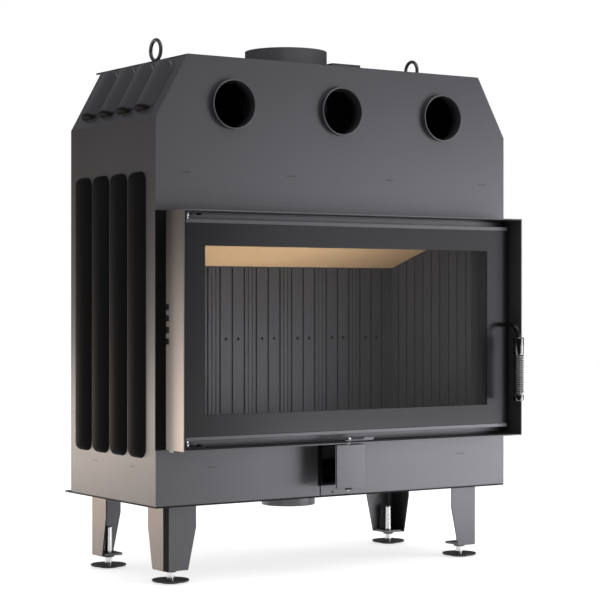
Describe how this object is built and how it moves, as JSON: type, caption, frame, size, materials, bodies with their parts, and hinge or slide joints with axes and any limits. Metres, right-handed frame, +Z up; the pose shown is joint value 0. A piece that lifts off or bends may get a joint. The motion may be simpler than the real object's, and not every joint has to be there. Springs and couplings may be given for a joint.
{
  "type": "fireplace insert",
  "caption": "Steel fireplace insert with a wide side-hung glass door, lined fire chamber, front hot air outlets, top flue collar, ribbed sides and levelling legs",
  "frame": {"origin": "on the floor, under the middle of the bounding box", "axes": "+Z up, +X to the right seen from the front, +Y from the door to the back of the casing"},
  "size_m": [1.078, 0.59, 1.3213],
  "materials": {
    "casing_paint": "dark grey heat-proof paint, satin",
    "bare_steel": "mill steel, darkened",
    "lining": "dark pressed refractory board, matt",
    "baffle_board": "tan vermiculite board, matt",
    "bright_chrome": "polished",
    "plated_steel": "zinc plated, satin",
    "door_pane": "clear heat-proof glass with a printed black border",
    "seal_rope": "braided glass rope"
  },
  "bodies": {
    "casing": {"front_panel": "casing_paint", "side_panel_left": "casing_paint", "side_panel_right": "casing_paint", "shoulder_left": "casing_paint", "shoulder_right": "casing_paint", "top_plate": "casing_paint", "bottom_plate": "casing_paint", "back_panel": "casing_paint", "outlet_collar_left": "casing_paint", "outlet_collar_centre": "casing_paint", "outlet_collar_right": "casing_paint", "flue_collar": "casing_paint", "top_access_cover": "casing_paint", "intake_spigot": "casing_paint", "lifting_eye_left": "casing_paint", "lifting_eye_right": "casing_paint", "firebox_floor": "bare_steel", "firebox_ceiling": "bare_steel", "firebox_side_left": "bare_steel", "firebox_side_right": "bare_steel", "firebox_back": "bare_steel", "firebox_flange": "casing_paint", "lining_back": "lining", "lining_left": "lining", "lining_right": "lining", "hearth_floor": "lining", "baffle": "baffle_board", "door_surround": "casing_paint", "hinge_bracket_top": "plated_steel", "hinge_bracket_bottom": "plated_steel", "hinge_pin_top": "bright_chrome", "hinge_pin_bottom": "bright_chrome", "latch_keeper": "plated_steel", "air_box": "casing_paint", "leg_front_left": "casing_paint", "leg_front_right": "casing_paint", "leg_rear_left": "casing_paint", "leg_rear_right": "casing_paint"},
    "door": {"door_frame": "casing_paint", "door_glass": "door_pane", "door_trim_top": "casing_paint", "door_trim_bottom": "casing_paint", "door_seal": "seal_rope", "hinge_bush_top": "plated_steel", "hinge_bush_bottom": "plated_steel"},
    "handle": {"handle_arm": "casing_paint", "grip_core": "bright_chrome", "grip_spring": "bright_chrome", "latch_cam": "plated_steel"},
    "air_control": {"air_spindle": "bright_chrome", "air_lever": "casing_paint", "air_damper": "bare_steel"},
    "levelling_foot_front_left": {"foot_front_left": "plated_steel"},
    "levelling_foot_front_right": {"foot_front_right": "plated_steel"},
    "levelling_foot_rear_left": {"foot_rear_left": "plated_steel"},
    "levelling_foot_rear_right": {"foot_rear_right": "plated_steel"}
  },
  "joints": [
    {"name": "door_hinge", "type": "hinge", "parent": "casing", "child": "door", "pos_m": [-0.457, -0.208, 0.605], "axis": [0, 0, -1], "range_deg": [0, 100]},
    {"name": "handle_turn", "type": "hinge", "parent": "door", "child": "handle", "pos_m": [0.485, -0.221, 0.611], "axis": [0, 1, 0], "range_deg": [0, 90]},
    {"name": "air_lever_turn", "type": "hinge", "parent": "casing", "child": "air_control", "pos_m": [-0.025, -0.248, 0.3], "axis": [0, 0, -1], "range_deg": [0, 80]},
    {"name": "foot_front_left_screw", "type": "slide", "parent": "casing", "child": "levelling_foot_front_left", "axis": [0, 0, -1], "range_m": [-0.008, 0.055]},
    {"name": "foot_front_right_screw", "type": "slide", "parent": "casing", "child": "levelling_foot_front_right", "axis": [0, 0, -1], "range_m": [-0.008, 0.055]},
    {"name": "foot_rear_left_screw", "type": "slide", "parent": "casing", "child": "levelling_foot_rear_left", "axis": [0, 0, -1], "range_m": [-0.008, 0.055]},
    {"name": "foot_rear_right_screw", "type": "slide", "parent": "casing", "child": "levelling_foot_rear_right", "axis": [0, 0, -1], "range_m": [-0.008, 0.055]}
  ]
}
